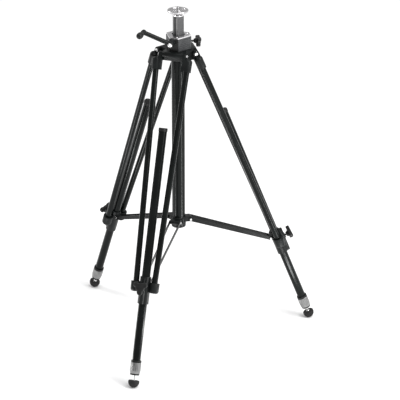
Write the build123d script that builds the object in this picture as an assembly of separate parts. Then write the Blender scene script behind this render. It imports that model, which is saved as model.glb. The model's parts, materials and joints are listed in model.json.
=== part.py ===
from build123d import *
from math import asin, atan2, ceil, cos, degrees, floor, pi, radians, sin, sqrt, tan
import os

# Studio tripod with a crank-driven centre column, as separate pieces in one frame.
# Units are millimetres and +Z is up. The feet stand on Z = 0 and the origin is the centre of
# the footprint. The front leg points along -Y. Each leg is drawn pointing along +X, then turned.

# ---- Driving dimensions -------------------------------------------------------------------

LEG_AZIMUTHS = {"front": -90, "right": 30, "left": 150}

# Clearances
RUN_FIT = 0.05            # radial clearance of a shaft or tube in a hole it turns or slides in
SEAT_FIT = 0.02           # radial clearance of a fixed piece in its seat
SIDE_GAP = 0.5            # side clearance between faces that pass each other
TOOTH_PLAY = 0.16         # thinning of each pinion tooth, for backlash

# Upper leg: two tubes that close in from the hinge to the casting
LEG_LEAN = 22.6           # degrees between the upper tubes' plane and the vertical
HINGE_REACH = 44.5        # column axis to a leg's hinge axis
UPPER_LENGTH = 656.5      # hinge axis to the casting's datum, along the leg
HINGE_HALF_SPAN = 47.3    # leg's middle plane to an upper tube, at the hinge
CASTING_HALF_SPAN = 27.2  # the same at the casting's datum
UPPER_TUBE_R = 8.5
UPPER_TUBE_WALL = 1.5
TUBE_SEAT_DROP = 8.0      # how far an upper tube ends below the casting's datum

# Hinge ends of the upper tubes
EYE_R = 9.5
EYE_T = 9.0
NECK_R = 12.2
NECK_ROUND = 7.5
NECK_START = 7.0          # hinge axis to the neck's top
TUBE_START = 16.0         # hinge axis to the upper tube's top
NECK_END = 44.0           # hinge axis to the neck's bottom
HINGE_BOLT_R = 3.0
HINGE_HEAD_R = 5.2
HINGE_HEAD_T = 3.2
HINGE_BOLT_DEPTH = 16.0   # thread length inside the shoulder
HEAD_ROUND_SHARE = 1 / 3  # edge round of a screw head, as a share of its thickness

# Leg casting
SOCKET_R = 14.6
SOCKET_TOP = 10.5
SOCKET_BOTTOM = -19.0
SOCKET_ROUND = 7.0
SLEEVE_WALL = 3.6         # round the lower tube
SLEEVE_TOP = 26.0
SLEEVE_BOTTOM = -51.0
WEB_HALF_DEPTH = 8.5
WEB_DROP = 1.0            # sockets' top to the web's top
LUG_STAND = 1.9           # strut pivot, inwards from the sleeve
LUG_RISE = 11.0           # strut pivot, above the datum
LUG_R = 5.6
LUG_HALF_WIDTH = 9.6
CLAMP_BOSS_R = 8.5
CLAMP_BOSS_REACH = 26.0
CLAMP_DROP = 4.0          # clamp screw, below the datum
PAD_HOUSING_HALF = 6.5
PAD_HOUSING_REACH = 23.5
PAD_HOUSING_TOP = 22.0
PAD_HOUSING_ROUND = 4.0

# Lower leg tube, twist collar and inner tube
LOWER_OFFSET = 0.7        # lower tube axis, outwards of the datum
LOWER_TILT = 0.88         # degrees that the lower tube leans out of the upper tubes' plane
LOWER_TUBE_R = 12.0
LOWER_TUBE_WALL = 1.4
LOWER_TOP = 440.0         # above the datum
LOWER_BOTTOM = -238.0
LOWER_CAP_RIM = 0.9       # how far the cap stands out round the tube
LOWER_CAP_T = 10.0
LOWER_CAP_ROUND = 2.0
RING_WALL = 3.0
RING_TOP = -213.0
RING_T = 6.0
COLLAR_WALL = 3.4         # these three stand out from the lower tube
COLLAR_END_WALL = 2.0
COLLAR_LENGTH = 31.0
COLLAR_TAPER = 7.75       # length of the tapered end
COLLAR_LIP_WALL = 1.4
COLLAR_LIP_T = 4.6
FLUTE_COUNT = 20
FLUTE_R = 0.9
INNER_TUBE_GAP = 0.6      # between the lower tube and the inner tube
INNER_TUBE_WALL = 1.2
INNER_TOP = 150.0
PLUG_LENGTH = 18.0

# Foot
FOOT_DROP = 275.0         # datum to the centre of the foot's dome
FOOT_R = 16.0
FOOT_CROWN = 4.5          # dome centre to the foot's flat top
STEM_R = 2.9
STEM_FLANGE_R = 5.2
STEM_FLANGE_T = 1.6

# Lock knobs
COLUMN_KNOB_R = 18.4      # screw axis to the tip of a lobe
COLUMN_KNOB_T = 12.0
COLUMN_KNOB_STAND = 10.0  # housing to the column knob's neck
LEG_KNOB_R = 22.0
LEG_KNOB_T = 10.5
LEG_KNOB_REACH = 29.5     # datum to the leg knob's neck, outwards
LEG_KNOB_TURNS = {"front": 0, "right": 30, "left": 90}  # where each one stopped, in degrees
KNOB_LOBE_SHARE = 0.36    # radius of a lobe and of the core, as shares of the knob's radius
KNOB_CORE_SHARE = 0.58
KNOB_ROUND = 2.6
KNOB_NECK_R = 6.0
KNOB_NECK_T = 7.0
LOCK_SCREW_R = 3.0

# Spreader
STRUT_SLOPE = 19.0437     # degrees that a strut rises to the hub
HUB_PIVOT_REACH = 33.0
STRUT_BAR_T = 2.0
STRUT_BAR_H = 10.4
STRUT_HUB_HALF = 14.8     # middle plane to a bar's inner face, at the hub
STRUT_PIN_R = 2.0
STRUT_HEAD_R = 3.4
STRUT_HEAD_T = 1.8
HUB_WALL = 2.5            # round the guard tube
HUB_BELOW = 17.0          # pivot to the hub's bottom
HUB_ABOVE = 9.0
HUB_LUG_R = 6.4
HUB_CHAMFER = 1.0

# Column, its guard tube and the head plate
COLUMN_CORNER_REACH = 16.3  # axis to the narrow corner faces
COLUMN_CORNER_HALF = 5.4    # half the width of a narrow corner face
COLUMN_WALL = 2.6
COLUMN_ROUND = 0.8
COLUMN_LENGTH = 455.0
COLUMN_RISE = 57.0        # column shown between the housing's cover and the head plate
GUARD_GAP = 0.43          # between the column's corners and the guard tube
GUARD_WALL = 1.4
GUARD_CAP_RIM = 2.0       # how far the cap stands out round the guard tube
GUARD_CAP_T = 6.0
PLATE_R = 30.0
PLATE_RIM_T = 5.0
PLATE_RIM_STEP = 1.5      # how far the rim stands out over the cone
PLATE_CHAMFER = 0.8
PLATE_CONE_T = 11.0
PLATE_NECK_RIM = 1.43     # how far the plate's neck stands out round the column
PLATE_RECESS_R = 22.0
PLATE_RECESS_DEPTH = 1.2
STUD_R = 4.7625           # 3/8 inch thread
STUD_HEIGHT = 9.0
STUD_SHANK_R = 3.5
STUD_DEPTH = 8.0
STUD_CHAMFER = 1.0
GRUB_R = 2.2
GRUB_LENGTH = 6.0
GRUB_HOLE_LENGTH = 16.0

# Gear housing and shoulder
HOUSING_CORNER_REACH = 36.0
HOUSING_CORNER_HALF = 14.0
HOUSING_HEIGHT = 35.5
HOUSING_ROUND = 1.2
RIDGE_COUNT = 6
RIDGE_W = 2.0
RIDGE_DEPTH = 0.8
COVER_T = 3.6
COVER_CHAMFER = 0.8
COVER_GAP_T = 0.9
COVER_INSET = 1.0
COVER_OPENING = 3.2       # gap between the column and the cover
COVER_SCREW_R = 2.6
COVER_SCREW_T = 1.2
COVER_SCREW_INSET = 8.32  # housing's corner face to a cover screw
BUSH_WALL = 2.4
SHOULDER_RISE = 9.0       # hinge axis to the shoulder's top
SHOULDER_DROP = 22.0      # hinge axis to the shoulder's bottom
SHOULDER_HALF = 31.0
SHOULDER_FOOT_REACH = 26.0
ARM_END_DROP = 17.0       # hinge axis to the underside of an arm's end
GUARD_SEAT = 14.0         # depth of the guard tube's seat in the shoulder

# Crank
GEAR_MODULE = 0.9
PINION_TEETH = 10
PRESSURE_ANGLE = 25.0
FLANK_STEPS = 5           # straight pieces that each tooth flank is drawn with
RACK_ADDENDUM = 0.7       # shares of the module
RACK_DEDENDUM = 0.98
CRANK_SIDE = -3.5         # crank axis, sideways from the column axis
CRANK_RISE = 26.0         # crank axis above the housing's base
PINION_WIDTH = 4.8
RACK_WIDTH = 5.2
RACK_BACK = 1.7           # solid depth behind the rack's roots
NOTCH_DEPTH = 5.8         # corner face to the floor of the rack's notch
SHAFT_R = 3.0
FLANGE_R = 8.4
FLANGE_T = 4.0
ARM_HUB_R = 8.8
ARM_HUB_STAND = 1.0       # crank bush to the arm's hub
ARM_HUB_T = 19.0
ARM_R = 6.5
ARM_SIDE = 70.5           # hub to elbow, sideways
ARM_OUT = 31.0            # hub to elbow, outwards
ARM_UP = 37.6             # hub to elbow, upwards
CRANK_SCREW_R = 5.0
CRANK_SCREW_T = 3.0
GRIP_R = 9.2
GRIP_WAIST_R = 6.6
GRIP_LENGTH = 36.0
GRIP_WAIST_SHARE = 0.25   # waist, as a share of the grip's length
GRIP_PIN_R = 2.4
KNUCKLE_R = 7.6
KNUCKLE_HALF = 6.4
KNUCKLE_ROUND = 3.0
ARM_CHAMFER = 1.2

# ---- Places worked out from the driving dimensions ----------------------------------------

LOWER_LEAN = LEG_LEAN - LOWER_TILT
HINGE_Z = (FOOT_R + UPPER_LENGTH * cos(radians(LEG_LEAN)) - LOWER_OFFSET * sin(radians(LEG_LEAN))
           + FOOT_DROP * cos(radians(LOWER_LEAN)))
FOOT_REACH = (HINGE_REACH + UPPER_LENGTH * sin(radians(LEG_LEAN))
              + LOWER_OFFSET * cos(radians(LEG_LEAN)) + FOOT_DROP * sin(radians(LOWER_LEAN)))
COLUMN_Y = FOOT_REACH / 4
SPLAY = degrees(asin((HINGE_HALF_SPAN - CASTING_HALF_SPAN) / UPPER_LENGTH))

SLEEVE_R = LOWER_TUBE_R + SLEEVE_WALL
LUG_REACH = SLEEVE_R + LUG_STAND
LOWER_CAP_R = LOWER_TUBE_R + LOWER_CAP_RIM
RING_R = LOWER_TUBE_R + RING_WALL
COLLAR_R = LOWER_TUBE_R + COLLAR_WALL
COLLAR_END_R = LOWER_TUBE_R + COLLAR_END_WALL
COLLAR_LIP_R = LOWER_TUBE_R + COLLAR_LIP_WALL
INNER_TUBE_R = LOWER_TUBE_R - LOWER_TUBE_WALL - INNER_TUBE_GAP

COLUMN_R = sqrt(COLUMN_CORNER_REACH ** 2 + COLUMN_CORNER_HALF ** 2)
GUARD_R = COLUMN_R + GUARD_GAP + GUARD_WALL
GUARD_CAP_R = GUARD_R + GUARD_CAP_RIM
HUB_R = GUARD_R + HUB_WALL
PLATE_NECK_R = COLUMN_R + PLATE_NECK_RIM
NOTCH_FLOOR = COLUMN_CORNER_REACH - NOTCH_DEPTH
COLUMN_KNOB_REACH = HOUSING_CORNER_REACH + COLUMN_KNOB_STAND
ARM_HUB_START = HOUSING_CORNER_REACH + FLANGE_T + ARM_HUB_STAND

EYE_INNER = SHOULDER_HALF + SIDE_GAP
EYE_OUTER = EYE_INNER + EYE_T

HINGE_PLACE = Pos(HINGE_REACH, 0, HINGE_Z) * Rot(0, -LEG_LEAN, 0)
DATUM_PLACE = HINGE_PLACE * Pos(0, 0, -UPPER_LENGTH)
LOWER_PLACE = DATUM_PLACE * Pos(LOWER_OFFSET, 0, 0) * Rot(0, LOWER_TILT, 0)

CLAMP_PLACE = DATUM_PLACE * Pos(0, 0, -CLAMP_DROP)
LUG_PLACE = DATUM_PLACE * Pos(-LUG_REACH, 0, LUG_RISE)
LUG_R_WORLD = LUG_PLACE.position.X
LUG_Z_WORLD = LUG_PLACE.position.Z
STRUT_RUN = LUG_R_WORLD - HUB_PIVOT_REACH
STRUT_LENGTH = STRUT_RUN / cos(radians(STRUT_SLOPE))
HUB_Z = LUG_Z_WORLD + STRUT_RUN * tan(radians(STRUT_SLOPE))
STRUT_LUG_HALF = LUG_HALF_WIDTH + SIDE_GAP
STRUT_PLACE = Pos(LUG_R_WORLD, 0, LUG_Z_WORLD) * Rot(0, STRUT_SLOPE, 0)

COLLAR_TOP = RING_TOP - RING_T - SIDE_GAP
LIP_BOTTOM = COLLAR_TOP - COLLAR_LENGTH - COLLAR_LIP_T
INNER_BOTTOM = LIP_BOTTOM - SIDE_GAP

SHOULDER_TOP = HINGE_Z + SHOULDER_RISE
HOUSING_TOP = SHOULDER_TOP + HOUSING_HEIGHT
COVER_BOTTOM = HOUSING_TOP + COVER_GAP_T
COVER_TOP = COVER_BOTTOM + COVER_T
PLATE_BOTTOM = COVER_TOP + COLUMN_RISE
PLATE_TOP = PLATE_BOTTOM + PLATE_CONE_T + PLATE_RIM_T
COLUMN_BOTTOM = PLATE_BOTTOM - COLUMN_LENGTH
GUARD_BOTTOM = HUB_Z - HUB_BELOW - SIDE_GAP
GUARD_TOP = HINGE_Z - SHOULDER_DROP + GUARD_SEAT

PITCH_R = GEAR_MODULE * PINION_TEETH / 2
CRANK_Z = SHOULDER_TOP + CRANK_RISE
RACK_PLANE = CRANK_SIDE + PITCH_R
RACK_TIP = RACK_PLANE - RACK_ADDENDUM * GEAR_MODULE
RACK_ROOT = RACK_PLANE + RACK_DEDENDUM * GEAR_MODULE
RACK_REAR = RACK_ROOT + RACK_BACK
RACK_FRONT = COLUMN_CORNER_REACH - SEAT_FIT
ARM_HUB_END = ARM_HUB_START + ARM_HUB_T
ARM_START = (ARM_HUB_START + ARM_HUB_END) / 2 + SIDE_GAP
ELBOW = (CRANK_SIDE - ARM_SIDE, -(ARM_START + ARM_OUT), CRANK_Z + ARM_UP)

# ---- Small helpers ------------------------------------------------------------------------


def rod(radius, low, high):
    """Upright cylinder from one height to another."""
    return Pos(0, 0, low) * extrude(Circle(radius), high - low)


def pipe(radius, wall, low, high):
    return rod(radius, low, high) - rod(radius - wall, low, high)


def cross_rod(radius, near, far):
    """Cylinder along Y, the direction of a leg's hinge pins."""
    return Rot(-90, 0, 0) * rod(radius, near, far)


def out_rod(radius, near, far):
    """Cylinder along +X, outwards from the column."""
    return Rot(0, 90, 0) * rod(radius, near, far)


def tri_prism(reach, half, low, high, rounding):
    """Triangular prism with cut corners that face the three legs."""
    outline = []
    for azimuth in LEG_AZIMUTHS.values():
        a = radians(azimuth)
        for side in (-half, half):
            outline.append((reach * cos(a) - side * sin(a), reach * sin(a) + side * cos(a)))
    face = make_face(Polyline(*outline, close=True))
    if rounding > 0:
        face = fillet(face.vertices(), rounding)
    return Pos(0, 0, low) * extrude(face, high - low)


def turned(shape, azimuth):
    return Pos(0, COLUMN_Y, 0) * Rot(0, 0, azimuth) * shape


def centred(shape):
    return Pos(0, COLUMN_Y, 0) * shape


def save(shape, node):
    export_step(shape, f"parts/{node}.step")


def group(shapes):
    return Compound(children=[solid for shape in shapes for solid in shape.solids()])


def thirds(shape):
    return group(turned(shape, azimuth) for azimuth in LEG_AZIMUTHS.values())


# ---- Leg pieces, drawn for a leg that points along +X -------------------------------------


def upper_axis(side):
    """Frame of one upper tube: on the tube's axis, at the hinge, with Z up along the tube."""
    return HINGE_PLACE * Pos(0, side * HINGE_HALF_SPAN, 0) * Rot(-side * SPLAY, 0, 0)


def upper_tube(side):
    low = -UPPER_LENGTH / cos(radians(SPLAY)) - TUBE_SEAT_DROP
    return upper_axis(side) * pipe(UPPER_TUBE_R, UPPER_TUBE_WALL, low, -TUBE_START - SEAT_FIT)


def tube_end(side):
    """Hinge eye on a tongue beside the shoulder, with a socket for the upper tube."""
    eye_middle = side * (EYE_INNER + EYE_OUTER) / 2
    eye = HINGE_PLACE * cross_rod(EYE_R, eye_middle - EYE_T / 2, eye_middle + EYE_T / 2)
    tongue = HINGE_PLACE * Pos(0, eye_middle, -NECK_END / 2) * Box(2 * EYE_R, EYE_T, NECK_END)
    neck = rod(NECK_R, -NECK_END, -NECK_START)
    neck = upper_axis(side) * fillet(neck.edges().sort_by(Axis.Z)[-1], NECK_ROUND)
    below = upper_axis(side) * rod(2 * NECK_R, -NECK_END - EYE_R, -NECK_END)
    tube_slot = upper_axis(side) * pipe(UPPER_TUBE_R + SEAT_FIT, UPPER_TUBE_WALL + 2 * SEAT_FIT,
                                        -NECK_END, -TUBE_START)
    bore = HINGE_PLACE * cross_rod(HINGE_BOLT_R + RUN_FIT, -2 * HINGE_HALF_SPAN, 2 * HINGE_HALF_SPAN)
    return eye + tongue + neck - below - tube_slot - bore


def hinge_bolt(side):
    head_face = EYE_OUTER + RUN_FIT
    head = rod(HINGE_HEAD_R, head_face, head_face + HINGE_HEAD_T)
    head = fillet(head.edges().sort_by(Axis.Z)[-1], HINGE_HEAD_T * HEAD_ROUND_SHARE)
    socket = extrude(RegularPolygon(HINGE_HEAD_R / 2, 6), HINGE_HEAD_T / 2)
    head = head - Pos(0, 0, head_face + HINGE_HEAD_T / 2) * socket
    shank = rod(HINGE_BOLT_R, SHOULDER_HALF - HINGE_BOLT_DEPTH, head_face)
    return HINGE_PLACE * Rot(-90 * side, 0, 0) * (head + shank)


def casting_socket(side):
    body = rod(SOCKET_R, SOCKET_BOTTOM, SOCKET_TOP)
    body = fillet(body.edges().sort_by(Axis.Z)[0], SOCKET_ROUND)
    return upper_axis(side) * Pos(0, 0, -UPPER_LENGTH) * body


def pad_housing():
    """Rib down the outer side of the sleeve, where the clamp screw runs."""
    height = PAD_HOUSING_TOP - SLEEVE_BOTTOM
    rib = Box(2 * PAD_HOUSING_REACH, 2 * PAD_HOUSING_HALF, height)
    rib = fillet(rib.edges().filter_by(Axis.Z), PAD_HOUSING_ROUND)
    inner_half = Box(2 * PAD_HOUSING_REACH, 2 * PAD_HOUSING_REACH, 2 * height)
    rib = rib - Pos(-PAD_HOUSING_REACH, 0, 0) * inner_half
    return LOWER_PLACE * Pos(0, 0, PAD_HOUSING_TOP - height / 2) * rib


def leg_casting():
    sockets = casting_socket(-1) + casting_socket(1)
    sleeve = LOWER_PLACE * rod(SLEEVE_R, SLEEVE_BOTTOM, SLEEVE_TOP)
    web_height = SOCKET_TOP - SOCKET_BOTTOM - SOCKET_ROUND
    web = Box(2 * WEB_HALF_DEPTH, 2 * CASTING_HALF_SPAN, web_height)
    web = DATUM_PLACE * Pos(0, 0, SOCKET_TOP - web_height / 2 - WEB_DROP) * web
    lug = LUG_PLACE * cross_rod(LUG_R, -LUG_HALF_WIDTH, LUG_HALF_WIDTH)
    bridge = Box(LUG_REACH, 2 * LUG_HALF_WIDTH, 2 * LUG_R)
    bridge = LUG_PLACE * Pos(LUG_REACH / 2, 0, 0) * bridge
    boss = CLAMP_PLACE * out_rod(CLAMP_BOSS_R, 0, CLAMP_BOSS_REACH)
    body = sockets + sleeve + web + lug + bridge + boss + pad_housing()
    body = body - LOWER_PLACE * rod(LOWER_TUBE_R + RUN_FIT, SLEEVE_BOTTOM - SLEEVE_R, SLEEVE_TOP + SLEEVE_R)
    body = body - LUG_PLACE * cross_rod(STRUT_PIN_R + SEAT_FIT, -SLEEVE_R, SLEEVE_R)
    body = body - CLAMP_PLACE * out_rod(LOCK_SCREW_R + RUN_FIT, LOWER_TUBE_R, LEG_KNOB_REACH)
    tube_low = -UPPER_LENGTH / cos(radians(SPLAY)) - TUBE_SEAT_DROP
    for side in (-1, 1):
        body = body - upper_axis(side) * rod(UPPER_TUBE_R + SEAT_FIT, tube_low, -NECK_END)
    return body


def lobed_knob(radius, thickness, neck_start, screw_tip, turn):
    """Three-lobed knob on a screw, along +X from the screw's tip to the knob's outer face."""
    lobe_r = radius * KNOB_LOBE_SHARE
    core_r = radius * KNOB_CORE_SHARE
    outline = Circle(core_r)
    for angle in (0, 120, 240):
        outline = outline + Rot(0, 0, angle) * Pos(radius - lobe_r, 0) * Circle(lobe_r)
    head = extrude(outline, thickness)
    head = fillet(head.edges().group_by(Axis.Z)[-1] + head.edges().group_by(Axis.Z)[0], KNOB_ROUND)
    start = neck_start + KNOB_NECK_T
    neck = Pos(0, 0, neck_start) * Cone(KNOB_NECK_R, core_r - KNOB_ROUND, KNOB_NECK_T,
                                        align=(Align.CENTER, Align.CENTER, Align.MIN))
    screw_end = start + thickness / 2
    seat = rod(LOCK_SCREW_R + SEAT_FIT, neck_start, screw_end)
    knob = Pos(0, 0, start) * head + neck - seat
    screw = rod(LOCK_SCREW_R, screw_tip, screw_end - SEAT_FIT)
    return Rot(0, 90, 0) * Rot(0, 0, turn) * group([knob, screw])


def leg_knob(name):
    screw_tip = LOWER_TUBE_R + LOWER_OFFSET + SIDE_GAP
    turn = LEG_KNOB_TURNS[name]
    return CLAMP_PLACE * lobed_knob(LEG_KNOB_R, LEG_KNOB_T, LEG_KNOB_REACH, screw_tip, turn)


def lower_tube():
    return LOWER_PLACE * pipe(LOWER_TUBE_R, LOWER_TUBE_WALL, LOWER_BOTTOM, LOWER_TOP)


def lower_tube_ends():
    bore = LOWER_TUBE_R - LOWER_TUBE_WALL - SEAT_FIT
    cap = rod(LOWER_CAP_R, LOWER_TOP, LOWER_TOP + LOWER_CAP_T)
    cap = fillet(cap.edges().sort_by(Axis.Z)[-1], LOWER_CAP_ROUND)
    cap = cap + rod(bore, LOWER_TOP - LOWER_CAP_T, LOWER_TOP)
    ring = rod(RING_R, RING_TOP - RING_T, RING_TOP) - rod(LOWER_TUBE_R + SEAT_FIT, LOWER_BOTTOM, RING_TOP)
    return LOWER_PLACE * group([cap, ring])


def twist_collar():
    low = COLLAR_TOP - COLLAR_LENGTH
    barrel = rod(COLLAR_R, low + COLLAR_TAPER, COLLAR_TOP)
    barrel = barrel + Pos(0, 0, low) * Cone(COLLAR_END_R, COLLAR_R, COLLAR_TAPER,
                                            align=(Align.CENTER, Align.CENTER, Align.MIN))
    for index in range(FLUTE_COUNT):
        flute = Rot(0, 0, index * 360 / FLUTE_COUNT) * Pos(COLLAR_R, 0, 0)
        barrel = barrel - flute * rod(FLUTE_R, low + COLLAR_TAPER / 2, COLLAR_TOP - 2 * FLUTE_R)
    barrel = barrel + rod(COLLAR_LIP_R, LIP_BOTTOM, low)
    barrel = barrel - rod(LOWER_TUBE_R + RUN_FIT, LOWER_BOTTOM - SIDE_GAP, COLLAR_TOP)
    return LOWER_PLACE * (barrel - rod(INNER_TUBE_R + RUN_FIT, LIP_BOTTOM, COLLAR_TOP))


def inner_tube():
    return LOWER_PLACE * pipe(INNER_TUBE_R, INNER_TUBE_WALL, INNER_BOTTOM, INNER_TOP)


def foot_stem():
    top = -FOOT_DROP + FOOT_CROWN
    plug = rod(INNER_TUBE_R - INNER_TUBE_WALL - SEAT_FIT, INNER_BOTTOM, INNER_BOTTOM + PLUG_LENGTH)
    stem = rod(STEM_R, -FOOT_DROP, INNER_BOTTOM)
    flange = rod(STEM_FLANGE_R, top + SEAT_FIT, top + STEM_FLANGE_T)
    return LOWER_PLACE * (plug + stem + flange)


def foot_rubber():
    dome = Pos(0, 0, -FOOT_DROP) * Sphere(FOOT_R)
    top = -FOOT_DROP + FOOT_CROWN
    dome = dome - rod(2 * FOOT_R, top, top + 2 * FOOT_R)
    return LOWER_PLACE * (dome - rod(STEM_R + SEAT_FIT, -FOOT_DROP - SEAT_FIT, top))


def strut_bar(side):
    """Flat bar from the casting's lug to the hub, which closes in towards the casting."""
    inner = STRUT_LUG_HALF
    turn = degrees(atan2(STRUT_HUB_HALF - STRUT_LUG_HALF, STRUT_LENGTH))
    outline = SlotCenterToCenter(STRUT_LENGTH / cos(radians(turn)), STRUT_BAR_H)
    bar = Rot(90, 0, 0) * extrude(outline, STRUT_BAR_T / 2, both=True)
    bar = Pos(-STRUT_LENGTH / 2, 0, 0) * Rot(0, 0, -side * turn) * bar
    middle = side * ((STRUT_HUB_HALF + inner) / 2 + STRUT_BAR_T / 2)
    bar = Pos(0, middle, 0) * bar
    wide = 2 * STRUT_HUB_HALF
    for pivot in (0, -STRUT_LENGTH):
        bar = bar - Pos(pivot, 0, 0) * cross_rod(STRUT_PIN_R + RUN_FIT, -wide, wide)
    return STRUT_PLACE * bar


def strut_screw(side, pivot, face, length):
    """Screw along Y, whose head stands outside a bar and whose shank runs inwards from it."""
    outer = face + STRUT_BAR_T + 2 * RUN_FIT
    head = rod(STRUT_HEAD_R, outer, outer + STRUT_HEAD_T)
    head = fillet(head.edges().sort_by(Axis.Z)[-1], STRUT_HEAD_T * HEAD_ROUND_SHARE)
    shank = rod(STRUT_PIN_R, outer - length, outer)
    return STRUT_PLACE * Pos(pivot, 0, 0) * Rot(-90 * side, 0, 0) * (head + shank)


def hub_strut_screws():
    length = STRUT_BAR_T + RUN_FIT
    return group(strut_screw(side, -STRUT_LENGTH, STRUT_HUB_HALF, length) for side in (-1, 1))


def lug_strut_screws():
    length = STRUT_LUG_HALF + STRUT_BAR_T - SIDE_GAP / 2
    return group(strut_screw(side, 0, STRUT_LUG_HALF, length) for side in (-1, 1))


# ---- Middle pieces, drawn about the column axis -------------------------------------------


def column_outline(growth, low, high, rounding):
    """Column section, grown or shrunk by one distance all round."""
    reach = COLUMN_CORNER_REACH + growth
    half = COLUMN_CORNER_HALF + growth * tan(radians(30))
    return tri_prism(reach, half, low, high, rounding)


def centre_column():
    outer = column_outline(0, COLUMN_BOTTOM, PLATE_BOTTOM, COLUMN_ROUND)
    hollow = column_outline(-COLUMN_WALL, COLUMN_BOTTOM, PLATE_BOTTOM, 0)
    floor_depth = NOTCH_FLOOR - COLUMN_WALL
    big = 2 * COLUMN_CORNER_REACH
    height = PLATE_BOTTOM - COLUMN_BOTTOM
    middle = (PLATE_BOTTOM + COLUMN_BOTTOM) / 2
    channel = Pos(0, -floor_depth - big / 2, middle) * Box(2 * big, big, height)
    hollow = hollow - channel
    notch = Pos(RACK_REAR - big / 2, -NOTCH_FLOOR - big / 2, middle) * Box(big, big, height)
    return outer - hollow - notch


def column_rack():
    pitch = pi * GEAR_MODULE
    low = COLUMN_BOTTOM + GUARD_CAP_T
    high = PLATE_BOTTOM - SIDE_GAP
    quarter = pitch / 4
    tip_half = quarter - RACK_ADDENDUM * GEAR_MODULE * tan(radians(PRESSURE_ANGLE))
    root_half = quarter + RACK_DEDENDUM * GEAR_MODULE * tan(radians(PRESSURE_ANGLE))
    first = ceil((low + pitch - CRANK_Z) / pitch)
    last = floor((high - pitch - CRANK_Z) / pitch)
    outline = [(RACK_REAR - SEAT_FIT, high), (RACK_REAR - SEAT_FIT, low), (RACK_ROOT, low)]
    for index in range(first, last):
        middle = CRANK_Z + (index + 0.5) * pitch
        outline.append((RACK_ROOT, middle - root_half))
        outline.append((RACK_TIP, middle - tip_half))
        outline.append((RACK_TIP, middle + tip_half))
        outline.append((RACK_ROOT, middle + root_half))
    outline.append((RACK_ROOT, high))
    face = make_face(Polyline(*outline, close=True))
    bar = Rot(90, 0, 0) * extrude(face, RACK_WIDTH)
    return Pos(0, -(NOTCH_FLOOR + SEAT_FIT), 0) * bar


def column_plug():
    return column_outline(0, COLUMN_BOTTOM - GUARD_CAP_T, COLUMN_BOTTOM, COLUMN_ROUND)


def head_plate():
    cone = Pos(0, 0, PLATE_BOTTOM) * Cone(PLATE_NECK_R, PLATE_R - PLATE_RIM_STEP, PLATE_CONE_T,
                                          align=(Align.CENTER, Align.CENTER, Align.MIN))
    rim = rod(PLATE_R, PLATE_TOP - PLATE_RIM_T, PLATE_TOP)
    rim = chamfer(rim.edges(), PLATE_CHAMFER)
    recess = rod(PLATE_RECESS_R, PLATE_TOP - PLATE_RECESS_DEPTH, PLATE_TOP)
    recess = recess - rod(2 * STUD_R, PLATE_TOP - PLATE_RECESS_DEPTH, PLATE_TOP)
    seat = rod(STUD_SHANK_R + SEAT_FIT, PLATE_TOP - STUD_DEPTH, PLATE_TOP)
    plate = cone + rim - recess - seat
    for azimuth in LEG_AZIMUTHS.values():
        plate = plate - grub_screw(azimuth, GRUB_R + SEAT_FIT, GRUB_HOLE_LENGTH)
    return plate


def grub_screw(azimuth, radius, length):
    """Set screw under the plate's rim, square to the cone."""
    middle_r = (PLATE_NECK_R + PLATE_R) / 2
    lean = degrees(atan2(PLATE_R - PLATE_NECK_R, PLATE_CONE_T))
    place = Rot(0, 0, azimuth) * Pos(middle_r, 0, PLATE_BOTTOM + PLATE_CONE_T / 2)
    return place * Rot(0, 90 + lean / 2, 0) * rod(radius, -GRUB_LENGTH, length - GRUB_LENGTH)


def plate_screws():
    return group(centred(grub_screw(azimuth, GRUB_R, GRUB_LENGTH)) for azimuth in LEG_AZIMUTHS.values())


def head_stud():
    stud = rod(STUD_R, PLATE_TOP + SEAT_FIT, PLATE_TOP + STUD_HEIGHT)
    stud = chamfer(stud.edges().sort_by(Axis.Z)[-1], STUD_CHAMFER)
    return stud + rod(STUD_SHANK_R, PLATE_TOP - STUD_DEPTH + SEAT_FIT, PLATE_TOP + SEAT_FIT)


def guard_tube():
    return pipe(GUARD_R, GUARD_WALL, GUARD_BOTTOM, GUARD_TOP)


def guard_cap():
    flange = rod(GUARD_CAP_R, GUARD_BOTTOM - GUARD_CAP_T, GUARD_BOTTOM)
    flange = fillet(flange.edges().sort_by(Axis.Z)[0], GUARD_CAP_T / 2)
    return flange + rod(GUARD_R - GUARD_WALL - SEAT_FIT, GUARD_BOTTOM, GUARD_BOTTOM + 2 * GUARD_CAP_T)


def spreader_hub():
    low = HUB_Z - HUB_BELOW
    ring = rod(HUB_R, low, HUB_Z + HUB_ABOVE)
    body = chamfer(ring.edges(), HUB_CHAMFER)
    for azimuth in LEG_AZIMUTHS.values():
        half = STRUT_HUB_HALF - SIDE_GAP
        tip = Pos(HUB_PIVOT_REACH, 0, HUB_Z) * cross_rod(HUB_LUG_R, -half, half)
        neck = Pos(HUB_PIVOT_REACH / 2, 0, HUB_Z) * Box(HUB_PIVOT_REACH, 2 * half, 2 * HUB_LUG_R)
        body = body + Rot(0, 0, azimuth) * (tip + neck)
    slot_low = HUB_Z - STRUT_BAR_H / 2 - SIDE_GAP
    slot_width = STRUT_BAR_T + 2 * SIDE_GAP
    for azimuth in LEG_AZIMUTHS.values():
        for side in (-1, 1):
            slot = Box(HUB_PIVOT_REACH, slot_width, 2 * HUB_BELOW)
            middle = side * (STRUT_HUB_HALF + STRUT_BAR_T / 2)
            body = body - Rot(0, 0, azimuth) * Pos(HUB_PIVOT_REACH / 2, middle, slot_low + HUB_BELOW) * slot
    return body - rod(GUARD_R + RUN_FIT, low, HUB_Z + HUB_ABOVE)


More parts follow.
